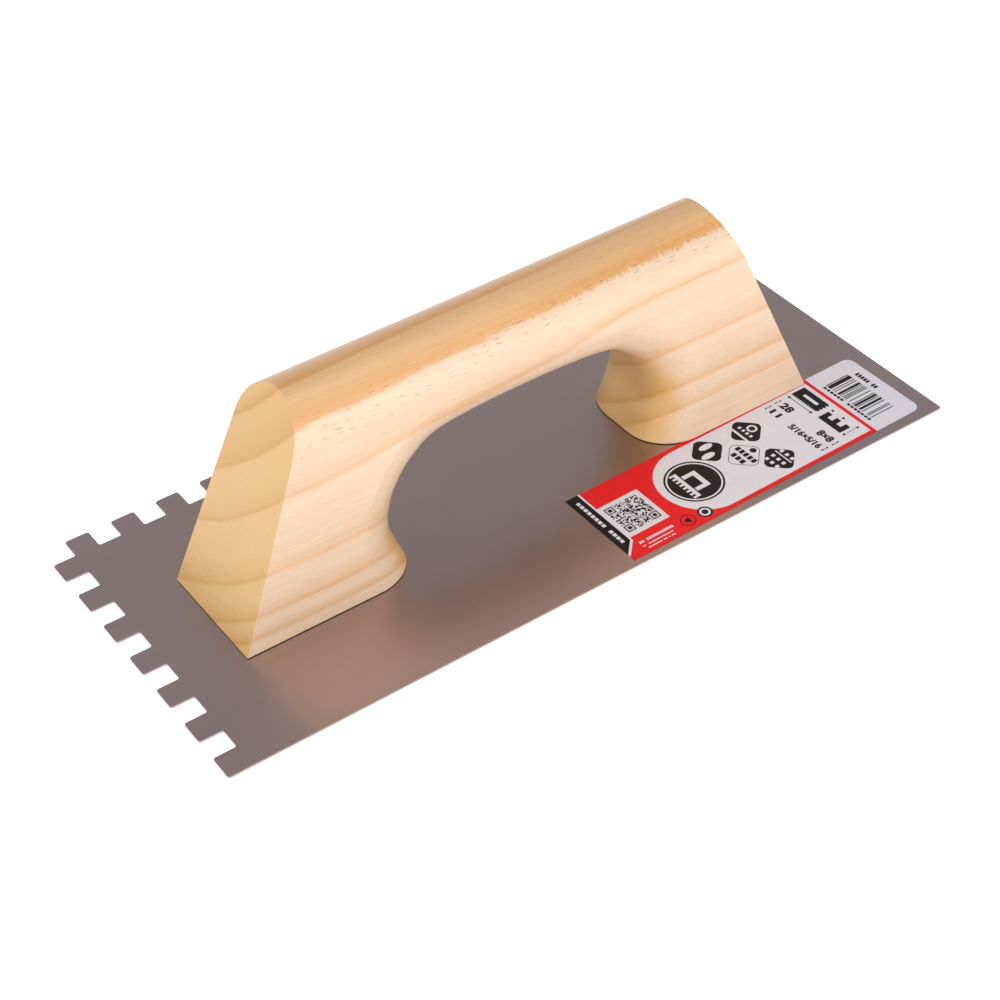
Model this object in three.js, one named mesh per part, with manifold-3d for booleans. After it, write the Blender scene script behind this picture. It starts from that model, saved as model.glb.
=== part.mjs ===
// Notched adhesive trowel: a thin steel blade with square notches along one long and one short edge,
// a one-piece bridge handle of pale softwood, the countersunk screws that hold the two together
// from below, and a paper label stuck on the blade in front of the handle.
//
// Millimetres, +Z up. The origin is the middle of the blade's underside; +X runs along the blade,
// +Y points to its notched long edge, and the notched short edge is at -X.

import * as THREE from "three";
import { mergeVertices } from "three/addons/utils/BufferGeometryUtils.js";
import Module from "manifold-3d";

const wasm = await Module();
wasm.setup();

// ---- Driving dimensions -------------------------------------------------------------------------

const BLADE = {
  length: 280,
  width: 120,
  thickness: 0.7,
  notch: 8, // width and depth of each square notch
  shortTeeth: 7, // along the notched short edge
  longTeeth: 17, // along the notched long edge
  tipRadius: 0.9, // rounding of the tooth corners
  rootRadius: 0.7, // rounding at the foot of each notch
};

const HANDLE = {
  length: 223.4, // at the base
  width: 44.3, // at the base
  height: 75.4, // base to ridge
  sideTaper: 0.0929, // how far each side leans in, per unit of height
  endTaper: 0.425, // how far each end leans in, per unit of height
};

// Right half of the hand hole's outline on the handle's middle plane, [x, height over the blade],
// from the toe of the foot up to the middle of the grip.
const HAND_HOLE = [
  [46.4, 0],
  [49.2, 7],
  [51.8, 17],
  [48.8, 29],
  [40.6, 38.6],
  [29.5, 43.2],
  [0, 44.6],
];
const ROUND_OVER = {
  flat: 5.2, // half the width of the hole's wall that stays square to the sides
  spread: 17.6, // how far the rounded edge reaches out round the hole
  squareness: 0.9, // 1 is an ellipse, less is squarer
  lastAngle: THREE.MathUtils.degToRad(80), // where the rounding runs out at the side face
};

const SCREW = {
  headRadius: 3.55,
  shankRadius: 1.75,
  length: 20,
  tipLength: 5,
  sunk: 0.05, // how far the head lies inside the blade's underside
  recess: { across: 4.2, width: 0.95, depth: 1.15 }, // the cross in the head
};
// Three screws in each foot: [distance from the handle's middle, offset towards +Y].
const SCREW_PLACES = {
  outer: [97, 0],
  front: [67, -10],
  back: [67, 10],
};
const SCREW_SIDES = 24;

// The label's back edge is caught under the front of the handle's right foot.
const LABEL = {
  length: 125.4,
  width: 35.8,
  thickness: 0.15,
  centre: [71.4, -38.9],
  turn: THREE.MathUtils.degToRad(0.85),
  cornerRadius: 3.2,
  squareCorner: 0.6, // the corners at the end nearer the blade's middle
  gap: 0.1, // left free in the wood over and round the label
};

const CLEARANCE = 0.05; // between a screw and its hole
const DIMPLE_GAP = 0.15; // between the blade's pressed dimples and the wood
const MARGIN = 5; // how far a cutting tool runs past what it cuts

// ---- Solids and meshes --------------------------------------------------------------------------

/** A closed three.js geometry as a solid that can be joined and cut. */
function solidFrom(geometry) {
  const bare = new THREE.BufferGeometry();
  const loose = geometry.index ? geometry.toNonIndexed() : geometry;
  bare.setAttribute("position", loose.getAttribute("position"));
  const merged = mergeVertices(bare, 1e-4);
  return new wasm.Manifold(
    new wasm.Mesh({
      numProp: 3,
      vertProperties: merged.attributes.position.array,
      triVerts: new Uint32Array(merged.index.array),
    }),
  );
}

/** A solid as three.js geometry. */
function geometryFrom(solid) {
  const { vertProperties, triVerts } = solid.getMesh();
  const geometry = new THREE.BufferGeometry();
  geometry.setAttribute("position", new THREE.BufferAttribute(vertProperties, 3));
  geometry.setIndex(new THREE.BufferAttribute(triVerts, 1));
  geometry.computeVertexNormals();
  return geometry;
}

/** A lathe turned about Z from [radius, height] points, which start and end on the axis. */
function turned(points, place) {
  const profile = points.map(([radius, height]) => new THREE.Vector2(radius, height));
  const geometry = new THREE.LatheGeometry(profile, SCREW_SIDES);
  geometry.rotateX(Math.PI / 2);
  geometry.translate(place.x, place.y, 0);
  return geometry;
}

function namedMesh(name, geometry, finish) {
  const mesh = new THREE.Mesh(geometry, new THREE.MeshStandardMaterial(finish));
  mesh.name = name;
  return mesh;
}

// ---- Blade --------------------------------------------------------------------------------------

/** Draws straight runs between [x, y, radius] corners, each rounded to its own radius. */
function roundedOutline(corners) {
  const shape = new THREE.Shape();
  corners.forEach(([x, y, radius], i) => {
    const corner = new THREE.Vector2(x, y);
    const [before, after] = [corners.at(i - 1), corners[(i + 1) % corners.length]].map(
      ([nearX, nearY]) => {
        const towards = new THREE.Vector2(nearX, nearY).sub(corner);
        return towards.setLength(radius).add(corner);
      },
    );
    if (i === 0) shape.moveTo(before.x, before.y);
    else shape.lineTo(before.x, before.y);
    shape.quadraticCurveTo(x, y, after.x, after.y);
  });
  shape.closePath();
  return shape;
}

/** The blade's corners, anticlockwise from the front left: plain front and right edges, then teeth. */
function bladeCorners() {
  const { notch, tipRadius: tip, rootRadius: root } = BLADE;
  const right = BLADE.length / 2;
  const back = BLADE.width / 2;
  const longPitch = BLADE.length / BLADE.longTeeth;
  const shortPitch = BLADE.width / BLADE.shortTeeth;
  const corners = [
    [-right, -back, tip],
    [right, -back, tip],
    [right, back, tip],
  ];
  for (let tooth = BLADE.longTeeth - 1; tooth >= 0; tooth--) {
    const start = -right + notch + tooth * longPitch;
    if (tooth < BLADE.longTeeth - 1) {
      const end = start + longPitch - notch;
      corners.push([end, back - notch, root], [end, back, tip]);
    }
    corners.push([start, back, tip]);
    if (tooth > 0) corners.push([start, back - notch, root]);
  }
  for (let tooth = BLADE.shortTeeth - 1; tooth >= 0; tooth--) {
    const start = -back + tooth * shortPitch;
    const end = start + shortPitch - notch;
    corners.push([-right + notch, end, root], [-right, end, tip]);
    if (tooth > 0) corners.push([-right, start, tip], [-right + notch, start, root]);
  }
  return corners;
}

/** Radius of the countersink at a height over the blade's underside: a right-angled cone. */
const countersinkRadius = (height) => SCREW.headRadius + CLEARANCE - height;
// The pressed steel keeps its thickness, so the dimple's outer cone lies this much higher.
const DIMPLE_RISE = BLADE.thickness * Math.SQRT2;
const BLADE_HOLE_RADIUS = SCREW.shankRadius + CLEARANCE;

function bladeGeometry(screwPlaces) {
  const plate = new THREE.ExtrudeGeometry(roundedOutline(bladeCorners()), {
    depth: BLADE.thickness,
    bevelEnabled: false,
    curveSegments: 3,
  });
  const dimpleTop = countersinkRadius(-DIMPLE_RISE) - BLADE_HOLE_RADIUS;
  const coneEnd = countersinkRadius(0) - BLADE_HOLE_RADIUS;
  return geometryFrom(
    screwPlaces.reduce((blade, place) => {
      const dimple = turned(
        [
          [0, BLADE.thickness / 2],
          [countersinkRadius(BLADE.thickness / 2 - DIMPLE_RISE), BLADE.thickness / 2],
          [BLADE_HOLE_RADIUS, dimpleTop],
          [0, dimpleTop],
        ],
        place,
      );
      const countersink = turned(
        [
          [0, -1],
          [countersinkRadius(-1), -1],
          [BLADE_HOLE_RADIUS, coneEnd],
          [BLADE_HOLE_RADIUS, dimpleTop + 1],
          [0, dimpleTop + 1],
        ],
        place,
      );
      return blade.add(solidFrom(dimple)).subtract(solidFrom(countersink));
    }, solidFrom(plate)),
  );
}

// ---- Handle -------------------------------------------------------------------------------------

/** Half the handle's width at a height over its base, where its sides are flat. */
const halfWidth = (height) => HANDLE.width / 2 - HANDLE.sideTaper * height;

/** The handle's section: leaning flat sides and a full round top that is tangent to them. */
function handleSection() {
  const lean = Math.atan(HANDLE.sideTaper);
  // The circle touches both sides and the ridge height.
  const radius = (halfWidth(HANDLE.height) * Math.cos(lean)) / (1 - Math.sin(lean));
  const section = new THREE.Shape();
  section.moveTo(-HANDLE.width / 2, 0);
  section.lineTo(HANDLE.width / 2, 0);
  section.absarc(0, HANDLE.height - radius, radius, lean, Math.PI - lean, false);
  section.closePath();
  return section;
}

/** The handle seen from the front: a bar whose two ends lean in. */
function handleFront() {
  const base = HANDLE.length / 2;
  const top = HANDLE.height + MARGIN;
  const front = new THREE.Shape();
  front.moveTo(-base, 0);
  front.lineTo(base, 0);
  front.lineTo(base - HANDLE.endTaper * top, top);
  front.lineTo(-base + HANDLE.endTaper * top, top);
  front.closePath();
  return front;
}

/** The hand hole's outline, right toe to left toe over the top, with its outward normals. */
function handHoleOutline(divisions) {
  const rightHalf = HAND_HOLE.map(([x, z]) => new THREE.Vector2(x, z));
  const leftHalf = HAND_HOLE.slice(0, -1).map(([x, z]) => new THREE.Vector2(-x, z));
  const curve = new THREE.SplineCurve([...rightHalf, ...leftHalf.reverse()]);
  return Array.from({ length: divisions + 1 }, (_, i) => {
    const point = curve.getPoint(i / divisions);
    const tangent = curve.getTangent(i / divisions);
    return { point, outward: new THREE.Vector2(tangent.y, -tangent.x) };
  });
}

/** Rings of the hole's cutter from the middle plane out: how far each spreads and how far out it lies. */
function roundOverRings(steps) {
  const { spread, squareness, lastAngle } = ROUND_OVER;
  const reach = Math.sin(lastAngle) ** squareness;
  return Array.from({ length: steps + 1 }, (_, i) => {
    // The last step runs on past the side face, so that the cut breaks cleanly through it.
    const angle = (lastAngle * i) / (steps - 1);
    return {
      spread: spread * (1 - Math.cos(angle) ** squareness),
      out: i < steps ? Math.sin(angle) ** squareness / reach : 1.2,
    };
  });
}

/** The solid that cuts the hand hole: a slab with a flared, rounded edge at both sides. */
function handHoleCutter() {
  const outline = handHoleOutline(44);
  const rings = roundOverRings(11);
  const sides = [...rings.map((ring) => [-1, ring]).reverse(), ...rings.map((ring) => [1, ring])];
  const across = outline.length;
  const positions = sides.flatMap(([side, ring]) =>
    outline.flatMap(({ point, outward }, i) => {
      const x = point.x + outward.x * ring.spread;
      const z = point.y + outward.y * ring.spread;
      // Both toes run on below the base, so that the cut is open underneath.
      const atToe = i === 0 || i === across - 1;
      const y = ROUND_OVER.flat + (halfWidth(z) - ROUND_OVER.flat) * ring.out;
      return [x, side * y, atToe ? z - MARGIN : z];
    }),
  );
  const triangles = [];
  for (let ring = 0; ring < sides.length - 1; ring++) {
    for (let i = 0; i < across; i++) {
      const next = (i + 1) % across;
      const [a, b] = [ring * across + i, ring * across + next];
      triangles.push(a, b + across, b, a, a + across, b + across);
    }
  }
  // The two end faces are flat; each is a fan over the outline drawn in its own plane.
  [0, sides.length - 1].forEach((ring) => {
    const points = outline.map((_, i) => {
      const at = (ring * across + i) * 3;
      return new THREE.Vector2(positions[at], positions[at + 2]);
    });
    THREE.ShapeUtils.triangulateShape(points, []).forEach((face) => {
      const corners = face.map((i) => ring * across + i);
      triangles.push(...(ring === 0 ? corners : corners.reverse()));
    });
  });
  const geometry = new THREE.BufferGeometry();
  geometry.setAttribute("position", new THREE.Float32BufferAttribute(positions, 3));
  geometry.setIndex(triangles);
  return geometry;
}

/** Extrudes a shape drawn in a plane that holds Z, from -reach to +reach along X or along Y. */
function extrudedSideways(shape, reach, alongX) {
  const geometry = new THREE.ExtrudeGeometry(shape, {
    depth: 2 * reach,
    bevelEnabled: false,
    curveSegments: 40,
  });
  geometry.translate(0, 0, -reach);
  geometry.rotateX(Math.PI / 2);
  if (alongX) geometry.rotateZ(Math.PI / 2);
  return geometry;
}

function handleGeometry(screwPlaces) {
  const bar = solidFrom(extrudedSideways(handleSection(), HANDLE.length, true));
  const ends = solidFrom(extrudedSideways(handleFront(), HANDLE.width, false));
  const block = bar.intersect(ends).subtract(solidFrom(handHoleCutter()));
  const seatRadius = (height) => countersinkRadius(height - DIMPLE_RISE) + DIMPLE_GAP;
  const pilotRadius = BLADE_HOLE_RADIUS;
  const seatTop = seatRadius(0) - pilotRadius;
  const drilled = screwPlaces.reduce((wood, place) => {
    // Heights are over the blade's underside, as the screws' are.
    const bit = turned(
      [
        [0, BLADE.thickness - 0.4],
        [seatRadius(BLADE.thickness - 0.4), BLADE.thickness - 0.4],
        [pilotRadius, seatTop],
        [pilotRadius, SCREW.length - SCREW.tipLength + 1],
        [0, SCREW.length + 1],
      ],
      place,
    );
    bit.translate(0, 0, -BLADE.thickness);
    return wood.subtract(solidFrom(bit));
  }, block);
  const placed = drilled.translate([0, 0, BLADE.thickness]);
  return geometryFrom(placed.subtract(solidFrom(labelGeometry(LABEL.gap))));
}

// ---- Screws -------------------------------------------------------------------------------------

function screwGeometry(place) {
  const { headRadius, shankRadius, length, tipLength, sunk, recess } = SCREW;
  const body = turned(
    [
      [0, sunk],
      [headRadius - sunk, sunk],
      [shankRadius, headRadius - shankRadius],
      [shankRadius, length - tipLength],
      [0, length],
    ],
    place,
  );
  const bars = [
    [recess.across, recess.width],
    [recess.width, recess.across],
  ].map(([along, across]) => {
    const bar = new THREE.BoxGeometry(along, across, 2 * recess.depth);
    return solidFrom(bar.translate(place.x, place.y, sunk));
  });
  return geometryFrom(bars.reduce((screw, bar) => screw.subtract(bar), solidFrom(body)));
}

// ---- Label --------------------------------------------------------------------------------------

/** The label lying on the blade, or the room for it when it is grown by a gap on every side. */
function labelGeometry(gap = 0) {
  const { thickness, centre, turn, cornerRadius, squareCorner } = LABEL;
  const [x, y] = [LABEL.length / 2 + gap, LABEL.width / 2 + gap];
  const outline = roundedOutline([
    [-x, -y, squareCorner],
    [x, -y, cornerRadius],
    [x, y, cornerRadius],
    [-x, y, squareCorner],
  ]);
  const geometry = new THREE.ExtrudeGeometry(outline, {
    depth: thickness + 2 * gap,
    bevelEnabled: false,
    curveSegments: 8,
  });
  return geometry.rotateZ(turn).translate(...centre, BLADE.thickness - gap);
}

// ---- The trowel ---------------------------------------------------------------------------------

const screws = [
  ["left", -1],
  ["right", 1],
].flatMap(([end, side]) =>
  Object.entries(SCREW_PLACES).map(([spot, [out, offset]]) => ({
    name: `screw_${end}_${spot}`,
    place: new THREE.Vector2(side * out, offset),
  })),
);
const places = screws.map((screw) => screw.place);

const trowel = new THREE.Group();
trowel.name = "notched_trowel";
trowel.add(
  namedMesh("blade", bladeGeometry(places), {
    color: 0x766866,
    roughness: 0.38,
    metalness: 1,
  }),
  namedMesh("handle", handleGeometry(places), {
    color: 0xf2cf9c,
    roughness: 0.45,
    metalness: 0,
  }),
  namedMesh("label", labelGeometry(), {
    color: 0xd8d5dc,
    roughness: 0.35,
    metalness: 0,
  }),
);
for (const { name, place } of screws) {
  const finish = { color: 0xc9c2a8, roughness: 0.3, metalness: 1 };
  trowel.add(namedMesh(name, screwGeometry(place), finish));
}

export default trowel;
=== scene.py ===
"""Looks of a square-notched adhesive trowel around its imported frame.

Everything is in metres in the frame's own axes: X along the blade, Y towards its notched long edge,
Z up, the origin in the middle of the blade's underside. Sizes in the classes are in millimetres.
"""

import logging
import math
import random
from contextlib import contextmanager
from dataclasses import dataclass, field
from enum import Enum
from typing import Any, Callable, Iterator, Sequence

import bmesh
import bpy
from mathutils import Matrix, Vector


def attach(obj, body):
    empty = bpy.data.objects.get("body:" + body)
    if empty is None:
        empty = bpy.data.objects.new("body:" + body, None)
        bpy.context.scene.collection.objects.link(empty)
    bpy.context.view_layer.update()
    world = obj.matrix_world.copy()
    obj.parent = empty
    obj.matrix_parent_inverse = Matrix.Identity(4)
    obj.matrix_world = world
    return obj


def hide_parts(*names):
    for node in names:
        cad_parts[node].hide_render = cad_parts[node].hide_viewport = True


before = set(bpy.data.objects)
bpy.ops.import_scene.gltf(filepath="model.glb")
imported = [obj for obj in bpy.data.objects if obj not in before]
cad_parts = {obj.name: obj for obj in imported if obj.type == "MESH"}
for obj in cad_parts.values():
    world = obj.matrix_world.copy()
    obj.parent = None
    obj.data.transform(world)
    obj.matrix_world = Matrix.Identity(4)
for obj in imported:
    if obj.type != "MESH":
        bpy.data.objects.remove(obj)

log = logging.getLogger("trowel")

MM = 0.001
SHARP = 0.02  # the radius of a countersink's point
BODY = "root"
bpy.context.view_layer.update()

Point = tuple[float, float, float]
Spot = tuple[float, float]
Colour = tuple[float, float, float]


# ---- Working by hand: selection, edit mode and modifiers -------------------------------------------


class Pick(Enum):
    """What edit mode selects."""

    POINTS = "VERT"
    EDGES = "EDGE"
    FACES = "FACE"


class Cut(Enum):
    """How one solid acts on another."""

    AWAY = "DIFFERENCE"
    JOIN = "UNION"


def metres(*values: float) -> Vector:
    """A place or size in millimetres as a vector in metres."""
    return Vector(values) * MM


def take(*pieces: bpy.types.Object) -> None:
    """Selects only these pieces, and makes the first the active one.

    Args:
        pieces: What the next operator works on.
    """
    if bpy.context.object and bpy.context.object.mode != "OBJECT":
        bpy.ops.object.mode_set(mode="OBJECT")
    bpy.ops.object.select_all(action="DESELECT")
    for piece in pieces:
        piece.select_set(True)
    if pieces:
        bpy.context.view_layer.objects.active = pieces[0]


@contextmanager
def editing(piece: bpy.types.Object, pick: Pick = Pick.FACES) -> Iterator[None]:
    """Edit mode on one piece, with nothing selected at first.

    Args:
        piece: The piece to shape.
        pick: Whether points, edges or faces are selected.
    """
    take(piece)
    bpy.ops.object.mode_set(mode="EDIT")
    bpy.ops.mesh.select_mode(type=pick.value)
    bpy.ops.mesh.select_all(action="DESELECT")
    try:
        yield
    finally:
        bpy.ops.object.mode_set(mode="OBJECT")


def choose(piece: bpy.types.Object, pick: Pick, test: Callable[[Any], bool]) -> None:
    """Selects what passes a test, in edit mode, and nothing else.

    Args:
        piece: The piece in edit mode.
        pick: Whether points, edges or faces are tested.
        test: Says whether one of them is wanted.
    """
    mesh = bmesh.from_edit_mesh(piece.data)
    parts = {Pick.POINTS: mesh.verts, Pick.EDGES: mesh.edges, Pick.FACES: mesh.faces}[pick]
    bpy.ops.mesh.select_all(action="DESELECT")
    mesh.normal_update()
    wanted = [part for part in parts if test(part)]
    for part in wanted:
        part.select_set(True)
    mesh.select_flush_mode()
    bmesh.update_edit_mesh(piece.data)


def named(name: str) -> bpy.types.Object:
    """The object that an operator has just added, under its own name."""
    piece = bpy.context.object
    piece.name = name
    piece.data.name = name
    return piece


def box(name: str, centre: Point, size: Point) -> bpy.types.Object:
    """Adds a box and settles its place into its mesh.

    Args:
        name: The piece's name.
        centre: Its middle.
        size: Its three sides.

    Returns:
        The new piece.
    """
    take()
    bpy.ops.mesh.primitive_cube_add(size=1, location=metres(*centre), scale=metres(*size))
    piece = named(name)
    settle(piece)
    return piece


def cone(name: str, foot: Point, radii: Spot, height: float, sides: int = 64) -> bpy.types.Object:
    """Adds an upright cone or cylinder that stands on a point.

    Args:
        name: The piece's name.
        foot: The middle of its lower end.
        radii: Its lower and upper radius.
        height: Its height.
        sides: How many sides its rim has.

    Returns:
        The new piece.
    """
    take()
    bpy.ops.mesh.primitive_cone_add(
        vertices=sides,
        radius1=radii[0] * MM,
        radius2=radii[1] * MM,
        depth=height * MM,
        location=metres(*foot) + metres(0, 0, height / 2),
    )
    piece = named(name)
    settle(piece)
    return piece


def settle(piece: bpy.types.Object) -> None:
    """Puts a piece's place, turn and scale into its mesh."""
    take(piece)
    bpy.ops.object.transform_apply(location=True, rotation=True, scale=True)


def apply(piece: bpy.types.Object, kind: str, **settings: Any) -> None:
    """Adds one modifier to a piece and applies it.

    Args:
        piece: The piece to change.
        kind: The modifier's type.
        settings: The modifier's properties.
    """
    take(piece)
    modifier = piece.modifiers.new(kind.lower(), kind)
    for name, value in settings.items():
        setattr(modifier, name, value)
    bpy.ops.object.modifier_apply(modifier=modifier.name)


def cut(piece: bpy.types.Object, tool: bpy.types.Object, how: Cut = Cut.AWAY) -> None:
    """Cuts a piece with a tool, or joins them, and throws the tool away.

    Args:
        piece: The piece to change.
        tool: The solid that acts on it.
        how: Whether it is cut away or joined.
    """
    apply(piece, "BOOLEAN", object=tool, operation=how.value, solver="EXACT")
    bpy.data.objects.remove(tool, do_unlink=True)


def joined(pieces: Sequence[bpy.types.Object], name: str) -> bpy.types.Object:
    """Several pieces as one.

    Args:
        pieces: What to join.
        name: The name of the whole.

    Returns:
        The joined piece.
    """
    take(*pieces)
    bpy.ops.object.join()
    return named(name)


def smooth(
    piece: bpy.types.Object, angle: float = 32, crisp: Callable[[Any], bool] | None = None
) -> None:
    """Smooth shading with crisp edges, and flat faces that stay flat.

    Args:
        piece: The piece to shade.
        angle: Edges sharper than this, in degrees, stay crisp.
        crisp: Says which other edges stay crisp.
    """
    take(piece)
    bpy.ops.object.shade_smooth_by_angle(angle=math.radians(angle))
    if crisp:
        with editing(piece, Pick.EDGES):
            choose(piece, Pick.EDGES, crisp)
            bpy.ops.mesh.mark_sharp()
    apply(piece, "WEIGHTED_NORMAL", mode="FACE_AREA", weight=50, keep_sharp=True)


def hand_over(piece: bpy.types.Object, finish: bpy.types.Material, slot: str, *nodes: str) -> None:
    """Gives a finished piece its material and its part in the frame.

    Args:
        piece: The finished piece.
        finish: Its material.
        slot: The record's material slot for the piece; not used.
        nodes: The CAD nodes that it stands for.
    """
    piece.data.materials.clear()
    piece.data.materials.append(finish)
    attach(piece, BODY)
    if nodes:
        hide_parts(*nodes)
    log.info("%s: %d faces", piece.name, len(piece.data.polygons))


# ---- Shader maths ----------------------------------------------------------------------------------


class Value:
    """A number that changes over a surface; arithmetic on it adds Math nodes."""

    def __init__(self, graph: "Graph", socket: bpy.types.NodeSocket) -> None:
        self.graph = graph
        self.socket = socket

    def math(self, operation: str, *others: Any) -> "Value":
        """One Math node.

        Args:
            operation: The node's operation.
            others: The inputs after this value.

        Returns:
            The node's result.
        """
        node = self.graph.add("ShaderNodeMath", {"operation": operation})
        for place, other in enumerate((self, *others)):
            self.graph.feed(node.inputs[place], other)
        return Value(self.graph, node.outputs[0])

    def __add__(self, other: Any) -> "Value":
        """The sum."""
        return self.math("ADD", other)

    __radd__ = __add__

    def __mul__(self, other: Any) -> "Value":
        """The product."""
        return self.math("MULTIPLY", other)

    __rmul__ = __mul__

    def __sub__(self, other: Any) -> "Value":
        """The difference."""
        return self.math("SUBTRACT", other)

    def __rsub__(self, other: Any) -> "Value":
        """The difference, from the other."""
        return (self * -1.0) + other

    def __truediv__(self, other: Any) -> "Value":
        """The quotient."""
        return self.math("DIVIDE", other)

    def __pow__(self, other: Any) -> "Value":
        """The power."""
        return self.math("POWER", other)

    def step(self, start: float, end: float) -> "Value":
        """A smooth step from 0 at start to 1 at end.

        Args:
            start: Where the step begins.
            end: Where it is complete.

        Returns:
            The step's height.
        """
        node = self.graph.add("ShaderNodeMapRange", {"interpolation_type": "SMOOTHSTEP"}, Value=self)
        node.inputs["From Min"].default_value = start
        node.inputs["From Max"].default_value = end
        return Value(self.graph, node.outputs["Result"])


class Graph:
    """The node tree of one material, or of the air round the trowel."""

    def __init__(self, name: str, air: bool = False) -> None:
        self.owner = (bpy.data.worlds if air else bpy.data.materials).new(name)
        self.owner.use_nodes = True
        self.tree = self.owner.node_tree
        self.tree.nodes.clear()

    def feed(self, socket: bpy.types.NodeSocket, value: Any) -> None:
        """Links a value to a socket, or sets it there.

        Args:
            socket: The input.
            value: A Value, a socket, a colour or a number.
        """
        if isinstance(value, Value):
            value = value.socket
        if isinstance(value, bpy.types.NodeSocket):
            self.tree.links.new(value, socket)
        elif socket.type == "RGBA" and len(value) == 3:
            socket.default_value = (*value, 1.0)
        else:
            socket.default_value = value

    def add(self, kind: str, settings: dict[str, Any] | None = None, **sockets: Any) -> bpy.types.Node:
        """Adds a node.

        Args:
            kind: The node's type.
            settings: Its own properties, and "stops" for a ramp's list of (place, colour).
            sockets: Inputs by name, with _ for a space.

        Returns:
            The node.
        """
        node = self.tree.nodes.new(kind)
        settings = dict(settings or {})
        stops = settings.pop("stops", None)
        for name, value in settings.items():
            setattr(node, name, value)
        if stops:
            ramp = node.color_ramp
            for _ in stops[2:]:
                ramp.elements.new(0.5)
            for element, (place, colour) in zip(ramp.elements, stops):
                element.position = place
                element.color = (*colour, 1.0)
        for name, value in sockets.items():
            self.feed(node.inputs[name.replace("_", " ")], value)
        return node

    def place(self) -> bpy.types.NodeSocket:
        """Object coordinates, in millimetres."""
        coordinates = self.add("ShaderNodeTexCoord").outputs["Object"]
        node = self.add("ShaderNodeVectorMath", {"operation": "SCALE"}, Vector=coordinates)
        node.inputs["Scale"].default_value = 1 / MM
        return node.outputs[0]

    def split(self, vector: bpy.types.NodeSocket) -> tuple[Value, Value, Value]:
        """A vector's three parts."""
        outputs = self.add("ShaderNodeSeparateXYZ", Vector=vector).outputs
        return tuple(Value(self, output) for output in outputs)

    def stretched(self, vector: bpy.types.NodeSocket, scale: Point) -> bpy.types.NodeSocket:
        """A vector scaled along each axis."""
        return self.add("ShaderNodeMapping", Vector=vector, Scale=scale).outputs[0]

    def noise(self, vector: Any, scale: Point, detail: float = 2, rough: float = 0.5) -> Value:
        """Noise around zero, from about -0.5 to 0.5.

        Args:
            vector: The coordinates.
            scale: Waves per unit along each axis.
            detail: How many finer layers it has.
            rough: How strong those are.

        Returns:
            The noise.
        """
        node = self.add(
            "ShaderNodeTexNoise",
            Vector=self.stretched(vector, scale),
            Scale=1.0,
            Detail=detail,
            Roughness=rough,
        )
        return Value(self, node.outputs[0]) - 0.5

    def grey(self, factor: Value, stops: Sequence[Spot]) -> Value:
        """A ramp from numbers to numbers."""
        shades = [(place, (shade, shade, shade)) for place, shade in stops]
        node = self.add("ShaderNodeValToRGB", {"stops": shades}, Fac=factor)
        return Value(self, node.outputs[0])

    def curve(self, value: Value, points: Sequence[Spot]) -> Value:
        """A function of a value, straight between its points.

        Args:
            value: The value.
            points: Pairs of a value and its result.

        Returns:
            The result.
        """
        start, end = points[0][0], points[-1][0]
        low = min(height for _, height in points)
        span = max(height for _, height in points) - low
        stops = [((at - start) / (end - start), (height - low) / span) for at, height in points]
        return self.grey((value - start) / (end - start), stops) * span + low

    def stored(self, name: str) -> Value:
        """A number stored on the mesh."""
        return Value(self, self.add("ShaderNodeAttribute", {"attribute_name": name}).outputs["Fac"])

    def blend(self, factor: Any, first: Any, second: Any, how: str = "MIX") -> bpy.types.NodeSocket:
        """Mixes two colours.

        Args:
            factor: How much of the second.
            first: A colour or its socket.
            second: A colour or its socket.
            how: The blend type.

        Returns:
            The mixed colour.
        """
        node = self.add("ShaderNodeMix", {"data_type": "RGBA", "blend_type": how})
        for place, value in ((0, factor), (6, first), (7, second)):
            self.feed(node.inputs[place], value)
        return node.outputs[2]

    def bump(self, height: Value, depth: float) -> bpy.types.NodeSocket:
        """A normal for a relief.

        Args:
            height: The relief, from about 0 to 1.
            depth: How deep it is, in millimetres.

        Returns:
            The normal.
        """
        node = self.add("ShaderNodeBump", Height=height, Distance=depth * MM, Strength=1.0)
        return node.outputs[0]

    def finish(self, **sockets: Any) -> bpy.types.Material:
        """Ends the graph in a Principled shader.

        Args:
            sockets: Its inputs by name, with _ for a space.

        Returns:
            The material.
        """
        shader = self.add("ShaderNodeBsdfPrincipled", **sockets)
        output = self.add("ShaderNodeOutputMaterial")
        self.tree.links.new(shader.outputs[0], output.inputs[0])
        return self.owner


# ---- Finishes --------------------------------------------------------------------------------------


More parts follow.
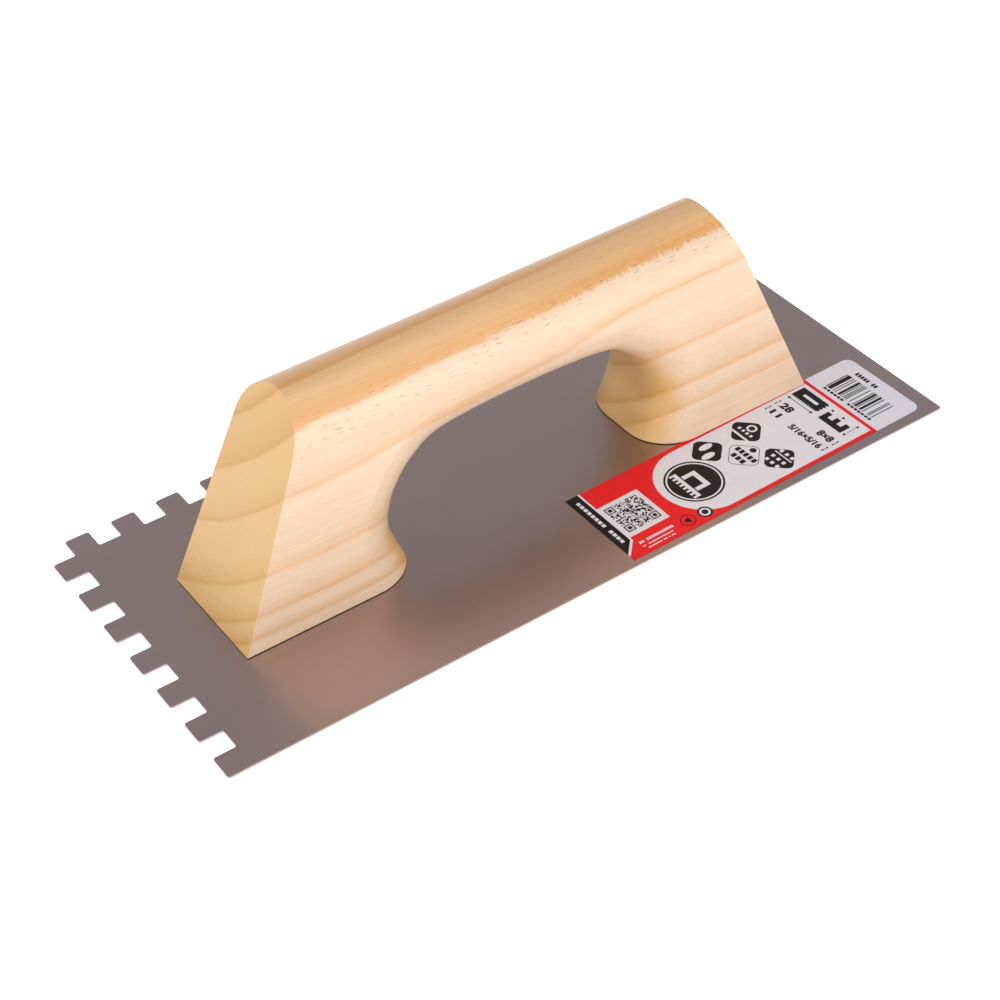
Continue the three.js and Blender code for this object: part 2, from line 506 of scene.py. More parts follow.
@dataclass(frozen=True)
class SealedPine:
    """Pale plantation softwood with wide growth rings under a satin sealer."""

    pith: Spot = (75.0, 135.7)  # across and up from the blade's middle
    # Each ring's outer edge, and the width over which its late wood darkens towards it.
    rings: tuple[Spot, ...] = (
        (88.0, 6.0),
        (96.5, 5.0),
        (110.3, 9.0),
        (125.3, 8.0),
        (144.2, 8.0),
        (155.2, 6.0),
        (161.5, 4.0),
    )
    # How far the rings wander along the handle, and how far each radius follows.
    wander: tuple[Spot, ...] = (
        (-112.0, 0.0),
        (-79.0, -0.15),
        (-60.0, -0.08),
        (-46.0, 0.12),
        (14.0, 0.5),
        (40.0, 0.92),
        (54.0, 1.0),
        (112.0, 1.0),
    )
    follow: tuple[Spot, ...] = (
        (80.0, 2.0),
        (107.0, 3.5),
        (118.0, 7.6),
        (134.5, 9.6),
        (147.0, 8.0),
        (155.0, 6.6),
        (170.0, 6.0),
    )
    early: Colour = (0.66, 0.50, 0.365)
    late: Colour = (0.59, 0.275, 0.075)
    heart: Colour = (0.65, 0.365, 0.155)
    rim: Colour = (0.57, 0.26, 0.06)
    end_early: Colour = (0.68, 0.415, 0.165)
    end_late: Colour = (0.53, 0.25, 0.05)
    canal: Colour = (0.16, 0.075, 0.05)

    def _lateness(self, graph: Graph, radius: Value) -> Value:
        """How dark the wood is across its rings: 0 in early wood, 1 at a ring's edge."""
        points = []
        for edge, width in self.rings:
            points += [(edge - width, 0.0), (edge - 1.8, 0.5), (edge - 0.5, 1.0), (edge + 0.5, 0.0)]
        return graph.curve(radius, points)

    def _radius(self, graph: Graph, place: bpy.types.NodeSocket) -> Value:
        """The distance from the wandering pith.

        Args:
            graph: The material's graph.
            place: Object coordinates in millimetres.

        Returns:
            The distance, in millimetres.
        """
        x, y, z = graph.split(place)
        across = y - self.pith[0]
        up = z - self.pith[1]
        radius = (across * across + up * up) ** 0.5
        slow = graph.noise(place, (0.012, 0.03, 0.03), 1)
        shift = graph.curve(x, self.wander) * graph.curve(radius, self.follow)
        return radius + shift + slow * 1.6

    def _raggedness(self, graph: Graph, place: bpy.types.NodeSocket, radius: Value) -> Value:
        """How far a ring's edge strays: streaks along the grain, and on the right a fringe across it.

        Args:
            graph: The material's graph.
            place: Object coordinates in millimetres.
            radius: The distance from the pith.

        Returns:
            The stray, in millimetres.
        """
        x, _, _ = graph.split(place)
        wavy = graph.noise(place, (0.05, 0.7, 0.7), 3, 0.6)
        fringe = graph.noise(place, (0.85, 0.17, 0.17), 3, 0.6)
        near = radius.step(103.0, 107.0) * (1 - radius.step(112.0, 116.0))
        right = x.step(-25.0, 25.0)
        return wavy * (near * (1 - right) * 4.0 + 0.9) + fringe * (near * right * 5.0 + 0.6)

    def build(self) -> bpy.types.Material:
        """Builds the material."""
        graph = Graph("sealed_pine")
        place = graph.place()
        radius = self._radius(graph, place)
        end = graph.stored("end_grain").step(0.3, 0.85)
        ragged = radius + self._raggedness(graph, place, radius) * (1 - end * 0.85)
        late = self._lateness(graph, ragged)

        streaks = graph.noise(place, (0.022, 1.5, 1.5), 3, 0.6)
        bands = graph.noise(place, (0.009, 0.28, 0.28), 2)
        clouds = graph.noise(place, (0.03, 0.05, 0.05), 2)
        flecks = graph.noise(place, (0.35, 2.6, 2.6), 2, 0.6)

        heart = 1 - ragged.step(108.2, 110.6)
        side_tone = graph.blend(heart * 0.78 + 0.05, self.early, self.heart)
        side_tone = graph.blend(late * (heart * 0.35 + 0.5) + bands * 0.45 + 0.05, side_tone, self.late)
        right = graph.split(place)[0].step(-15.0, 40.0)
        rim = ragged.step(104.5, 108.8) * (1 - ragged.step(109.0, 112.4)) * right
        speckle = graph.noise(place, (0.7, 0.5, 0.5), 3, 0.7)
        side_tone = graph.blend(rim * (speckle * 1.6 + 0.5), side_tone, self.rim)
        end_tone = graph.blend(late * 0.6 + clouds * 0.25 + heart * 0.2, self.end_early, self.end_late)
        tone = graph.blend(end, side_tone, end_tone)
        change = streaks * 0.24 + clouds * 0.1 + flecks * 0.14
        tone = graph.blend(1.0, tone, self._shade(graph, change), "MULTIPLY")

        canals = self._canals(graph, place, radius) * (1 - end)  # none shows on end grain
        tone = graph.blend(canals, tone, self.canal)
        return graph.finish(
            Base_Color=tone,
            Roughness=streaks * 0.16 + canals * 0.3 + 0.4,
            Specular_IOR_Level=0.45,
            Coat_Weight=0.35,
            Coat_Roughness=0.28,
            Normal=graph.bump(streaks * 0.6 + flecks * 0.3 - canals * 1.2, 0.03),
        )

    def _shade(self, graph: Graph, change: Value) -> bpy.types.NodeSocket:
        """White made a little lighter or darker, as a colour."""
        node = graph.add("ShaderNodeCombineColor")
        for socket in node.inputs:
            graph.feed(socket, change + 1.0)
        return node.outputs[0]

    def _canals(self, graph: Graph, place: bpy.types.NodeSocket, radius: Value) -> Value:
        """Resin canals: short dark dashes along the grain, most of them round one ring.

        Args:
            graph: The material's graph.
            place: Object coordinates in millimetres.
            radius: The distance from the pith.

        Returns:
            1 in a canal, 0 outside.
        """
        cells = graph.add(
            "ShaderNodeTexVoronoi",
            {"feature": "F1"},
            Vector=graph.stretched(place, (0.22, 2.0, 2.0)),
            Scale=1.0,
            Randomness=1.0,
        )
        near = 1 - Value(graph, cells.outputs["Distance"]).step(0.18, 0.36)
        draw = graph.add("ShaderNodeSeparateColor", Color=cells.outputs["Color"]).outputs[0]
        some = Value(graph, draw).step(0.3, 0.9)
        thick = radius.step(106.0, 111.0) * (1 - radius.step(114.0, 120.0))
        return near * some * (thick * 0.52 + 0.08)


@dataclass(frozen=True)
class RolledSteel:
    """Cold-rolled strip under a thin film of oil: fine grain along X, soft smudges."""

    colour: Colour = (0.405, 0.315, 0.31)
    roughness: float = 0.33
    film: float = 0.5
    film_roughness: float = 0.04

    def build(self) -> bpy.types.Material:
        """Builds the material."""
        graph = Graph("rolled_steel")
        place = graph.place()
        grain = graph.noise(place, (0.03, 3.0, 3.0), 3, 0.7)
        smudge = graph.noise(place, (0.018, 0.03, 0.03), 3, 0.55)
        cross = graph.noise(place, (0.2, 0.2, 0.2), 2)
        deep = tuple(part * 0.86 for part in self.colour)
        pale = tuple(part * 1.12 for part in self.colour)
        tone = graph.blend(smudge * 0.5 + grain * 0.35 + 0.5, deep, pale)
        return graph.finish(
            Base_Color=tone,
            Metallic=1.0,
            Roughness=smudge * 0.08 + grain * 0.07 + cross * 0.03 + self.roughness,
            Coat_Weight=self.film,
            Coat_Roughness=self.film_roughness,
            Normal=graph.bump(grain + cross * 0.5, 0.003),
        )


@dataclass(frozen=True)
class ZincPlate:
    """Bright zinc with a faint yellow passivation, dulled in patches."""

    colour: Colour = (0.62, 0.57, 0.44)

    def build(self) -> bpy.types.Material:
        """Builds the material."""
        graph = Graph("zinc_plate")
        place = graph.place()
        patches = graph.noise(place, (0.5, 0.5, 0.5), 3, 0.6)
        grain = graph.noise(place, (4.0, 4.0, 4.0), 2)
        dull = tuple(part * 0.72 for part in self.colour)
        return graph.finish(
            Base_Color=graph.blend(patches * 1.2 + 0.45, self.colour, dull),
            Metallic=1.0,
            Roughness=patches * 0.25 + grain * 0.05 + 0.33,
            Normal=graph.bump(grain, 0.004),
        )


@dataclass(frozen=True)
class Print:
    """Ink or bare stock of a coated paper label."""

    name: str
    colour: Colour
    roughness: float = 0.42
    gloss: float = 0.35
    mottle: float = 0.05

    def build(self) -> bpy.types.Material:
        """Builds the material."""
        graph = Graph(self.name)
        place = graph.place()
        fibre = graph.noise(place, (1.4, 1.4, 1.4), 3, 0.65)
        press = graph.noise(place, (0.12, 0.3, 0.3), 2)
        deep = tuple(part * (1 - self.mottle * 2) for part in self.colour)
        tone = graph.blend(fibre * 0.7 + press * 0.7 + 0.35, self.colour, deep)
        return graph.finish(
            Base_Color=tone,
            Roughness=fibre * 0.1 + press * 0.06 + self.roughness,
            Specular_IOR_Level=self.gloss,
            Normal=graph.bump(fibre, 0.006),
        )


# ---- Blade -----------------------------------------------------------------------------------------


@dataclass
class Blade:
    """The thin steel plate, square-notched along its back and left edges, with pressed dimples."""

    length: float = 280
    width: float = 120
    thickness: float = 0.7
    notch: float = 8
    long_teeth: int = 17
    short_teeth: int = 7
    tip_radius: float = 0.9
    root_radius: float = 0.7
    eased: float = 0.07  # what the shear leaves of each long edge
    screw_places: tuple[Spot, ...] = ()
    head_radius: float = 3.6  # of the countersink, at the underside
    hole_radius: float = 1.8
    finish: RolledSteel = field(default_factory=RolledSteel)

    def _notches(self) -> list[bpy.types.Object]:
        """The punches of both notched edges, one modelled and repeated along each edge."""
        over, tall = 2.0, 3.0
        half_notch = self.notch / 2
        long_pitch = self.length / self.long_teeth
        short_pitch = self.width / self.short_teeth
        start = (-self.length / 2 + half_notch, self.width / 2 - half_notch + over / 2, 0)
        back = box("back_punch", start, (self.notch, self.notch + over, tall))
        start = (-self.length / 2 + half_notch - over / 2, -self.width / 2 + short_pitch - half_notch, 0)
        left = box("left_punch", start, (self.notch + over, self.notch, tall))
        rows = (
            (back, self.long_teeth, metres(long_pitch, 0, 0)),
            (left, self.short_teeth - 1, metres(0, short_pitch, 0)),
        )
        for punch, count, step in rows:
            apply(
                punch,
                "ARRAY",
                count=count,
                use_relative_offset=False,
                use_constant_offset=True,
                constant_offset_displace=step,
            )
        return [back, left]

    def _is_root(self, edge: bmesh.types.BMEdge) -> bool:
        """Whether an upright edge stands at the foot of a notch."""
        x, y = (edge.verts[0].co.xy) / MM
        inner_x = -self.length / 2 + self.notch
        inner_y = self.width / 2 - self.notch
        near = 0.01
        on_back = abs(y - inner_y) < near and x > inner_x - near
        return on_back or (abs(x - inner_x) < near and y < inner_y + near)

    def _round_corners(self, plate: bpy.types.Object) -> None:
        """Rounds the corners of the teeth and notches, then eases the long edges."""

        def upright(edge: bmesh.types.BMEdge) -> bool:
            """Whether an edge runs straight up through the plate."""
            return (edge.verts[0].co - edge.verts[1].co).xy.length < 1e-7

        def rim(edge: bmesh.types.BMEdge) -> bool:
            """Whether an edge lies between a flat face and the edge's wall."""
            flat = [abs(face.normal.z) > 0.9 for face in edge.link_faces]
            return flat.count(True) == 1 and len(flat) == 2

        with editing(plate, Pick.EDGES):
            choose(plate, Pick.EDGES, lambda edge: upright(edge) and self._is_root(edge))
            bpy.ops.mesh.bevel(offset=self.root_radius * MM, segments=5, clamp_overlap=True)
        with editing(plate, Pick.EDGES):
            sharp = math.radians(60)
            choose(plate, Pick.EDGES, lambda edge: upright(edge) and edge.calc_face_angle(0) > sharp)
            bpy.ops.mesh.bevel(offset=self.tip_radius * MM, segments=6, clamp_overlap=True)
        with editing(plate, Pick.EDGES):
            choose(plate, Pick.EDGES, rim)
            bpy.ops.mesh.bevel(offset=self.eased * MM, segments=2, clamp_overlap=True)

    def build(self) -> bpy.types.Object:
        """Builds the blade.

        Returns:
            The finished piece.
        """
        half = self.thickness / 2
        plate = box("blade_plate", (0, 0, half), (self.length, self.width, self.thickness))
        for punch in self._notches():
            cut(plate, punch)
        self._round_corners(plate)
        rise = self.thickness * math.sqrt(2)
        top = self.head_radius + rise - self.hole_radius
        for x, y in self.screw_places:
            outer = (self.head_radius + rise - half, self.hole_radius)
            cut(plate, cone("dimple", (x, y, half), outer, top - half), Cut.JOIN)
        sink = self.head_radius + 1
        for x, y in self.screw_places:
            cut(plate, cone("sink", (x, y, -1), (sink, SHARP), sink))
            cut(plate, cone("drill", (x, y, -1), (self.hole_radius, self.hole_radius), 8))
        smooth(plate)
        hand_over(plate, self.finish.build(), "blade_steel", "blade")
        return plate


# ---- Handle ----------------------------------------------------------------------------------------


@dataclass
class Handle:
    """The one-piece wooden bridge handle: leaning sides, a full round top and a flared hand hole."""

    length: float = 223.4
    width: float = 44.3
    height: float = 75.4
    side_taper: float = 0.0929
    end_taper: float = 0.425
    base: float = 0.7
    eased: float = 0.45
    relief: float = 0.35  # how far the rim of the base stands clear of the blade
    relief_depth: float = 1.6
    # Right half of the hole's outline on the middle plane, from the toe up to the middle.
    hole: tuple[Spot, ...] = (
        (46.4, 0),
        (49.2, 7),
        (51.8, 17),
        (48.8, 29),
        (40.6, 38.6),
        (29.5, 43.2),
        (0, 44.6),
    )
    flat: float = 5.2
    spread: float = 17.6
    squareness: float = 0.9
    side_angle: float = 80.0
    last_angle: float = 88.0
    below: float = 5.0
    screw_places: tuple[Spot, ...] = ()
    seat_radius: float = 4.74
    pilot_radius: float = 1.8
    pilot_depth: float = 20.3
    finish: SealedPine = field(default_factory=SealedPine)

    def half_width(self, height: float) -> float:
        """Half the handle's width at a height over its base."""
        return self.width / 2 - self.side_taper * height

    def _block(self) -> bpy.types.Object:
        """The tapered block with its full round top, standing clear of the blade by the relief."""
        length = self.length - 2 * self.end_taper * self.relief
        width = 2 * self.half_width(self.relief)
        block = box(
            "handle_wood",
            (0, 0, self.base + (self.height + self.relief) / 2),
            (length, width, self.height - self.relief),
        )
        narrow = 2 * self.half_width(self.height) / width
        short = 1 - 2 * self.end_taper * (self.height - self.relief) / length
        with editing(block):
            choose(block, Pick.FACES, lambda face: face.normal.z > 0.9)
            bpy.ops.transform.resize(value=(short, narrow, 1))
        top = (self.base + self.height) * MM
        round_over = (self.half_width(self.height) - 0.02) * MM

        def ridge(edge: bmesh.types.BMEdge) -> bool:
            """Whether an edge is one of the two long ones at the top."""
            low = min(vertex.co.z for vertex in edge.verts)
            return low > top - 1e-5 and abs(edge.verts[0].co.y - edge.verts[1].co.y) < 1e-6

        with editing(block, Pick.EDGES):
            choose(block, Pick.EDGES, ridge)
            bpy.ops.mesh.bevel(offset=round_over, segments=26, profile=0.5, clamp_overlap=False)
        return block

    def _spline(self, along: float) -> Vector:
        """A point of the hole's outline on the middle plane.

        Args:
            along: From 0 at the right toe to 1 at the left one.

        Returns:
            Its x and its height over the base.
        """
        points = list(self.hole) + [(-x, z) for x, z in reversed(self.hole[:-1])]
        last = len(points) - 1
        at = min(max(along, 0.0), 1.0) * last
        start = min(int(at), last - 1)
        share = at - start
        near = [Vector(points[min(max(start + step, 0), last)]) for step in (-1, 0, 1, 2)]
        leave, arrive = (near[2] - near[0]) / 2, (near[3] - near[1]) / 2
        cubic = (near[1] - near[2]) * 2 + leave + arrive
        square = (near[2] - near[1]) * 3 - leave * 2 - arrive
        return ((cubic * share + square) * share + leave) * share + near[1]

    def _hole_point(self, along: float, over: float) -> Vector:
        """A point of the flared hole's wall.

        Args:
            along: From 0 at the right toe to 1 at the left one.
            over: From -1 outside the front face to 1 outside the back one.

        Returns:
            The point, in metres.
        """
        small = 1e-4
        ahead = self._spline(along + small) - self._spline(along - small)
        outward = Vector((ahead.y, -ahead.x)).normalized()
        angle = math.radians(self.last_angle) * abs(over)
        reach = math.sin(math.radians(self.side_angle)) ** self.squareness
        spread = self.spread * (1 - math.cos(angle) ** self.squareness)
        out = math.sin(angle) ** self.squareness / reach
        x, z = self._spline(along) + outward * spread
        y = self.flat + (self.half_width(z) - self.flat) * out
        return metres(x, math.copysign(y, over), z + self.base)

    def _hole_cutter(self, along: int = 150, rings: int = 36) -> bpy.types.Object:
        """The solid that cuts the hand hole: a sheet wrapped round its wall, then closed.

        Args:
            along: Steps along the outline.
            rings: Steps from the front face to the back one.

        Returns:
            The cutter.
        """
        take()
        bpy.ops.mesh.primitive_grid_add(x_subdivisions=along, y_subdivisions=rings + 1, size=2)
        sheet = named("hole_cutter")
        middle = 1 / (rings + 1)
        for vertex in sheet.data.vertices:
            run, over = vertex.co.x / 2 + 0.5, vertex.co.y
            # The two middle rows bound the strip of wall that stays square to the sides.
            share = (abs(over) - middle) / (1 - middle)
            vertex.co = self._hole_point(run, math.copysign(max(share, 0.0), over))
            if run < 1e-6 or run > 1 - 1e-6:
                vertex.co.z -= self.below * MM
        sheet.data.update()
        with editing(sheet, Pick.EDGES):
            for side in (-1, 1):
                choose(sheet, Pick.EDGES, lambda edge: edge.is_boundary and self._outside(edge, side))
                bpy.ops.mesh.edge_face_add()
            choose(sheet, Pick.EDGES, lambda edge: edge.is_boundary)
            bpy.ops.mesh.edge_face_add()
            bpy.ops.mesh.select_all(action="SELECT")
            bpy.ops.mesh.normals_make_consistent(inside=False)
        return sheet

    def _outside(self, edge: bmesh.types.BMEdge, side: int) -> bool:
        """Whether an edge lies outside one of the handle's side faces.

        Args:
            edge: The edge.
            side: -1 for the front face, 1 for the back one.

        Returns:
            Whether both its ends do.
        """
        clear = 0.02
        return all(
            vertex.co.y * side > (self.half_width(vertex.co.z / MM - self.base) + clear) * MM
            for vertex in edge.verts
        )

    def _stand(self, block: bpy.types.Object) -> None:
        """Pushes the middle of each foot down onto the blade, which leaves a dark gap round its rim."""
        with editing(block):
            choose(block, Pick.FACES, lambda face: face.normal.z < -0.99)
            bpy.ops.mesh.inset(thickness=self.relief_depth * MM, use_individual=True)
            down = {"value": (0, 0, -self.relief * MM)}
            bpy.ops.mesh.extrude_region_move(TRANSFORM_OT_translate=down)

    def build(self) -> bpy.types.Object:
        """Builds the handle.

        Returns:
            The finished piece.
        """
        block = self._block()
        cut(block, self._hole_cutter())
        apply(
            block,
            "BEVEL",
            width=self.eased * MM,
            segments=3,
            limit_method="ANGLE",
            angle_limit=math.radians(38),
            use_clamp_overlap=True,
        )
        self._stand(block)
        foot = self.base - 0.4
        seat = self.seat_radius - foot
        for x, y in self.screw_places:
            cut(block, cone("seat", (x, y, foot), (seat, SHARP), seat, 48))
            radii = (self.pilot_radius, self.pilot_radius)
            cut(block, cone("pilot", (x, y, foot), radii, self.pilot_depth, 32))
        return block

    def dress(self, block: bpy.types.Object) -> None:
        """Shades the handle and gives it its wood.

        Args:
            block: The finished shape.
        """
        lean = math.sin(math.atan(self.side_taper))

        def on_side(face: bmesh.types.BMFace) -> bool:
            """Whether a face is one of the two flat sides."""
            return abs(face.normal.x) < 0.01 and abs(face.normal.z - lean) < 0.01

        def hole_rim(edge: bmesh.types.BMEdge) -> bool:
            """Whether an edge lies between a flat side and the hand hole's flare."""
            flat = [on_side(face) for face in edge.link_faces]
            return flat.count(True) == 1 and edge.calc_face_angle(0) > math.radians(3)

        smooth(block, crisp=hole_rim)
        marks = block.data.attributes.new("end_grain", "FLOAT", "CORNER")
        marks.data.foreach_set("value", [abs(corner.vector.x) for corner in block.data.corner_normals])
        hand_over(block, self.finish.build(), "handle_wood", "handle")


# ---- Label -----------------------------------------------------------------------------------------


class Level(Enum):
    """How high a printed layer stands over the paper, in millimetres."""

    FIELD = 0.012
    PANEL = 0.020
    MARK = 0.028
    TOP_MARK = 0.036


def every_other(column: int, row: int) -> bool:
    """Keeps every other cell of a row that runs across the label."""
    return row % 2 == 0


class Inking:
    """The flat shapes of one ink, in millimetres from the label's front left corner."""

    def __init__(self, name: str, draws: random.Random) -> None:
        self.name = name
        self.draws = draws
        self.shapes: list[bpy.types.Object] = []

    def _keep(self, wide: float = 1, deep: float = 1) -> bpy.types.Object:
        """Settles the shape just made at its size and keeps it.

        Args:
            wide: How far it is stretched along the label.
            deep: How far it is stretched across the label.

        Returns:
            The shape.
        """
        shape = named(self.name)
        shape.scale = (wide, deep, 1)
        settle(shape)
        self.shapes.append(shape)
        return shape

    def block(
        self,
        low: Spot,
        high: Spot,
        level: Level,
        rounding: float = 0,
        only: Callable[[Any], bool] = lambda point: True,
    ) -> bpy.types.Object:
        """A rectangle.

        Args:
            low: Its front left corner.
            high: Its back right corner.
            level: Its layer.
            rounding: The radius of its corners.
            only: Says which corners are rounded.

        Returns:
            The shape.
        """
        take()
        middle = ((low[0] + high[0]) / 2, (low[1] + high[1]) / 2, level.value)
        bpy.ops.mesh.primitive_plane_add(size=1, location=middle)
        shape = self._keep(high[0] - low[0], high[1] - low[1])
        if rounding:
            with editing(shape, Pick.POINTS):
                choose(shape, Pick.POINTS, only)
                bpy.ops.mesh.bevel(offset=rounding, segments=14, affect="VERTICES")
        return shape

    def arrow(self, tip: Spot, radius: float, level: Level, turn: float) -> None:
        """An arrowhead, which points to the label's back edge before it is turned."""
        self.disc(tip, radius, level, 3, turn)

    def nudge(self, shape: bpy.types.Object, corner: Spot, by: Spot) -> None:
        """Moves one corner of a shape.

        Args:
            shape: The shape.
            corner: The corner.
            by: How far it moves.
        """
        with editing(shape, Pick.POINTS):
            choose(shape, Pick.POINTS, lambda point: (point.co.xy - Vector(corner)).length < 0.01)
            bpy.ops.transform.translate(value=(*by, 0))

    def disc(
        self, middle: Spot, radius: float, level: Level, sides: int = 40, turn: float = 0
    ) -> bpy.types.Object:
        """A disc, or with few sides an arrowhead.

        Args:
            middle: Its middle.
            radius: Its radius.
            level: Its layer.
            sides: How many sides it has.
            turn: How far it is turned, in degrees.

        Returns:
            The shape.
        """
        take()
        bpy.ops.mesh.primitive_circle_add(
            vertices=sides,
            radius=radius,
            fill_type="NGON",
            location=(*middle, level.value),
            rotation=(0, 0, math.radians(turn)),
        )
        return self._keep()

    def ring(self, middle: Spot, radius: float, line: float, level: Level) -> None:
        """A ring of a line's width."""
        self._hollow(self.disc(middle, radius, level, 48), line)

    def diamond(self, middle: Spot, half: float, level: Level, line: float = 0) -> None:
        """A square on its corner with rounded corners, solid or drawn with a line.

        Args:
            middle: Its middle.
            half: Half its diagonal before the corners are rounded.
            level: Its layer.
            line: The line's width, or 0 for a solid one.
        """
        shape = self.disc(middle, half, level, 4)
        with editing(shape, Pick.POINTS):
            bpy.ops.mesh.select_all(action="SELECT")
            bpy.ops.mesh.bevel(offset=half * 0.32, segments=8, affect="VERTICES")
        if line:
            self._hollow(shape, line)

    def _hollow(self, shape: bpy.types.Object, line: float) -> None:
        """Leaves only the rim of a shape."""
        with editing(shape):
            bpy.ops.mesh.select_all(action="SELECT")
            bpy.ops.mesh.inset(thickness=line)
            bpy.ops.mesh.delete(type="FACE")

    def cells(
        self, low: Spot, high: Spot, count: tuple[int, int], level: Level, keep: Callable[[int, int], bool]
    ) -> bpy.types.Object:
        """A rectangle divided into cells, of which some are left out.

        Args:
            low: Its front left corner.
            high: Its back right corner.
            count: How many cells it has along and across the label.
            level: Its layer.
            keep: Says whether the cell in a column and a row stays.

        Returns:
            The shape.
        """
        take()
        middle = ((low[0] + high[0]) / 2, (low[1] + high[1]) / 2, level.value)
        wide, deep = high[0] - low[0], high[1] - low[1]
        bpy.ops.mesh.primitive_grid_add(
            x_subdivisions=count[0], y_subdivisions=count[1], size=1, location=middle
        )
        shape = self._keep(wide, deep)

        def left_out(face: bmesh.types.BMFace) -> bool:
            """Whether a cell is left out."""
            middle = face.calc_center_median()
            column = int((middle.x - low[0]) / wide * count[0])
            row = int((middle.y - low[1]) / deep * count[1])
            return not keep(column, row)

        with editing(shape):
            choose(shape, Pick.FACES, left_out)
            bpy.ops.mesh.delete(type="FACE")

        def touching(point: bmesh.types.BMVert) -> bool:
            """Whether two cells meet at this corner only."""
            return len(point.link_faces) == 2 and len(point.link_edges) == 4

        with editing(shape, Pick.POINTS):
            choose(shape, Pick.POINTS, touching)
            bpy.ops.mesh.edge_split(type="VERT")
        return shape

    def words(self, low: Spot, high: Spot, level: Level, letters: int, share: float = 0.74) -> None:
        """A line of unreadable small print: a row of equal strokes with a gap here and there.

        Args:
            low: Its front left corner.
            high: Its back right corner.
            level: Its layer.
            letters: How many strokes it has room for.
            share: How many of them are inked.
        """
        across = high[1] - low[1] > high[0] - low[0]
        inked = []
        for _ in range(letters):
            stroke = self.draws.random() < share
            inked += [stroke, stroke, stroke, False]
        count = (1, len(inked)) if across else (len(inked), 1)
        self.cells(low, high, count, level, lambda column, row: inked[row if across else column])

    def figures(self, text: str, low: Spot, high: Spot, level: Level) -> None:
        """Numbers that read from the label's back edge to its front edge.

        Args:
            text: The numbers.
            low: Their front left corner.
            high: Their back right corner.
            level: Their layer.
        """
        take()
        bpy.ops.object.text_add(rotation=(0, 0, math.radians(-90)))
        writing = bpy.context.object
        writing.data.body = text
        writing.data.offset = 0.05
        writing.data.resolution_u = 4
        bpy.ops.object.convert(target="MESH")
        shape = self._keep()
        spots = [vertex.co for vertex in shape.data.vertices]
        left, right = min(spot.x for spot in spots), max(spot.x for spot in spots)
        front, back = min(spot.y for spot in spots), max(spot.y for spot in spots)
        wide, deep = (high[0] - low[0]) / (right - left), (high[1] - low[1]) / (back - front)
        shape.scale = (wide, deep, 1)
        shape.location = (low[0] - left * wide, low[1] - front * deep, level.value)
        settle(shape)

    def press(self, thickness: float) -> bpy.types.Object:
        """Makes one solid print of all the shapes.

        Args:
            thickness: How far each shape reaches down, in millimetres.

        Returns:
            The print.
        """
        print_ = joined(self.shapes, self.name)
        with editing(print_):
            bpy.ops.mesh.select_all(action="SELECT")
            bpy.ops.mesh.remove_doubles(threshold=1e-4, use_sharp_edge_from_normals=False)
            choose(print_, Pick.FACES, lambda face: face.normal.z < 0)
            bpy.ops.mesh.flip_normals()
        apply(print_, "SOLIDIFY", thickness=thickness, offset=-1)
        return print_


